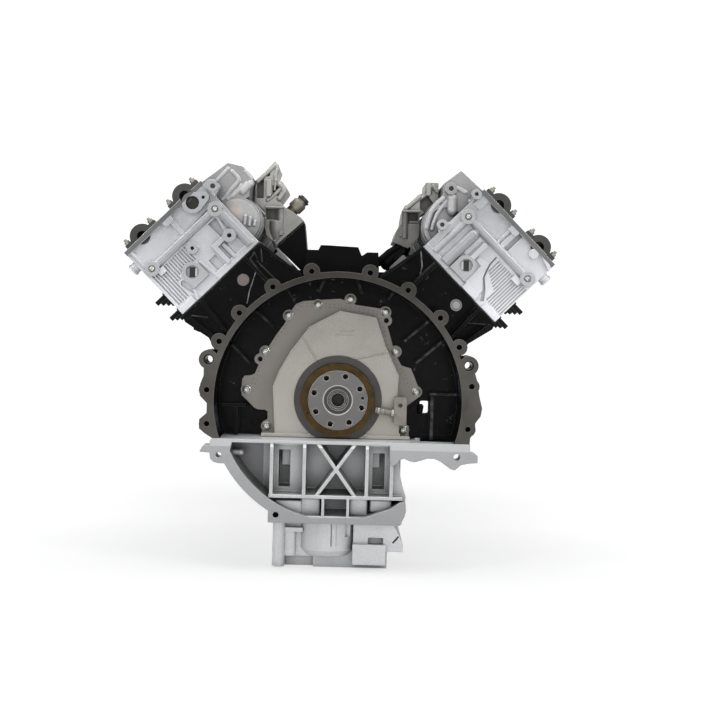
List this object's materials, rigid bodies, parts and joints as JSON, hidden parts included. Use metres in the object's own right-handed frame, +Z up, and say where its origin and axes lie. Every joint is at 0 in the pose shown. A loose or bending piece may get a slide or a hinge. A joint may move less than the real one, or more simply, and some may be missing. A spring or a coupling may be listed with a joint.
{
  "type": "v8 engine",
  "caption": "V engine long block seen from the flywheel end: black block with bell-housing ring, bright open-topped heads with camshafts, ribbed sump, turning crank train",
  "frame": {"origin": "crank axis at the rear face of the crank flange, where the flywheel seats", "axes": "+Y forward along the crank to the damper, +Z up, +X to the right seen from the flywheel end; the engine stands on its lower sump"},
  "size_m": [0.7402, 0.6332, 0.652],
  "materials": {
    "cylinder_block": "gloss black paint over casting, machined faces bare",
    "main_bearing_caps": "as cast, machined joints",
    "main_cap_bolts": "dark phosphated",
    "main_bearing_shells": "satin bearing alloy",
    "crankshaft": "dark forged steel, ground journals",
    "reluctor_ring": "yellow passivated steel look",
    "crank_sprocket": "oiled steel",
    "crank_damper": "satin black",
    "damper_bolt": "dark phosphated",
    "pistons": "machined",
    "piston_rings": "ground",
    "wrist_pins": "polished",
    "connecting_rods": "forged, shot peened",
    "rod_caps": "forged, shot peened",
    "rod_bolts": "dark phosphated",
    "rear_cover": "warm grey die casting",
    "rear_cover_bolts": "zinc plated",
    "rear_seal": "dark, matt",
    "crank_speed_sensor": "beige and silver",
    "core_plugs": "zinc plated",
    "upper_sump": "die casting",
    "lower_sump": "die casting",
    "sump_bolts": "zinc plated",
    "drain_plug": "zinc plated",
    "oil_pickup": "matt",
    "oil_pump": "casting",
    "left_head": "bright sand casting, machined faces",
    "right_head": "bright sand casting, machined faces",
    "head_end_bolts": "zinc plated",
    "head_gaskets": "layered steel",
    "head_bolts": "dark phosphated",
    "left_intake_camshaft": "ground lobes, oiled",
    "left_exhaust_camshaft": "ground lobes, oiled",
    "right_intake_camshaft": "ground lobes, oiled",
    "right_exhaust_camshaft": "ground lobes, oiled",
    "left_cam_caps": "dark grey",
    "right_cam_caps": "dark grey",
    "cam_cap_bolts": "yellow passivated",
    "valves": "ground",
    "valve_springs": "dark spring steel",
    "finger_followers": "pressed steel",
    "lash_adjusters": "ground",
    "exhaust_studs": "black",
    "left_inlet_plenum": "casting",
    "right_inlet_plenum": "casting",
    "left_valve_housing": "casting",
    "right_valve_housing": "casting",
    "valley_housing": "black",
    "coolant_pipes": "zinc plated tube",
    "coolant_sensor": "olive brown and black",
    "timing_chains": "oiled steel",
    "chain_guides": "dark nylon",
    "front_cover": "die casting",
    "front_cover_bolts": "zinc plated"
  },
  "bodies": {
    "engine": {"cylinder_block": "cylinder_block", "main_bearing_caps": "main_bearing_caps", "main_cap_bolts": "main_cap_bolts", "main_bearing_shells": "main_bearing_shells", "pistons": "pistons", "piston_rings": "piston_rings", "wrist_pins": "wrist_pins", "connecting_rods": "connecting_rods", "rod_caps": "rod_caps", "rod_bolts": "rod_bolts", "rear_cover": "rear_cover", "rear_cover_bolts": "rear_cover_bolts", "rear_seal": "rear_seal", "crank_speed_sensor": "crank_speed_sensor", "core_plugs": "core_plugs", "upper_sump": "upper_sump", "lower_sump": "lower_sump", "sump_bolts": "sump_bolts", "drain_plug": "drain_plug", "oil_pickup": "oil_pickup", "oil_pump": "oil_pump", "left_head": "left_head", "right_head": "right_head", "head_end_bolts": "head_end_bolts", "head_gaskets": "head_gaskets", "head_bolts": "head_bolts", "left_cam_caps": "left_cam_caps", "right_cam_caps": "right_cam_caps", "cam_cap_bolts": "cam_cap_bolts", "valves": "valves", "valve_springs": "valve_springs", "finger_followers": "finger_followers", "lash_adjusters": "lash_adjusters", "exhaust_studs": "exhaust_studs", "left_inlet_plenum": "left_inlet_plenum", "right_inlet_plenum": "right_inlet_plenum", "left_valve_housing": "left_valve_housing", "right_valve_housing": "right_valve_housing", "valley_housing": "valley_housing", "coolant_pipes": "coolant_pipes", "coolant_sensor": "coolant_sensor", "timing_chains": "timing_chains", "chain_guides": "chain_guides", "front_cover": "front_cover", "front_cover_bolts": "front_cover_bolts"},
    "crank_train": {"crankshaft": "crankshaft", "reluctor_ring": "reluctor_ring", "crank_sprocket": "crank_sprocket", "crank_damper": "crank_damper", "damper_bolt": "damper_bolt"},
    "left_intake_camshaft": {"left_intake_camshaft": "left_intake_camshaft"},
    "left_exhaust_camshaft": {"left_exhaust_camshaft": "left_exhaust_camshaft"},
    "right_intake_camshaft": {"right_intake_camshaft": "right_intake_camshaft"},
    "right_exhaust_camshaft": {"right_exhaust_camshaft": "right_exhaust_camshaft"}
  },
  "joints": [
    {"name": "crank_spin", "type": "hinge", "parent": "engine", "child": "crank_train", "pos_m": [0, 0, 0], "axis": [0, -1, 0], "continuous": true, "deforming": ["pistons", "piston_rings", "wrist_pins", "connecting_rods", "rod_caps", "rod_bolts", "timing_chains", "valves", "valve_springs", "finger_followers"]},
    {"name": "left_intake_cam_spin", "type": "hinge", "parent": "engine", "child": "left_intake_camshaft", "pos_m": [-0.24904, 0.239, 0.3141], "axis": [0, -1, 0], "continuous": true},
    {"name": "left_exhaust_cam_spin", "type": "hinge", "parent": "engine", "child": "left_exhaust_camshaft", "pos_m": [-0.3141, 0.239, 0.24904], "axis": [0, -1, 0], "continuous": true},
    {"name": "right_intake_cam_spin", "type": "hinge", "parent": "engine", "child": "right_intake_camshaft", "pos_m": [0.24904, 0.261, 0.3141], "axis": [0, -1, 0], "continuous": true},
    {"name": "right_exhaust_cam_spin", "type": "hinge", "parent": "engine", "child": "right_exhaust_camshaft", "pos_m": [0.3141, 0.261, 0.24904], "axis": [0, -1, 0], "continuous": true}
  ],
  "couplings": [
    {"joint": "left_intake_cam_spin", "follows": "crank_spin", "ratio": 0.5},
    {"joint": "left_exhaust_cam_spin", "follows": "crank_spin", "ratio": -0.5},
    {"joint": "right_intake_cam_spin", "follows": "crank_spin", "ratio": 0.5},
    {"joint": "right_exhaust_cam_spin", "follows": "crank_spin", "ratio": -0.5}
  ]
}
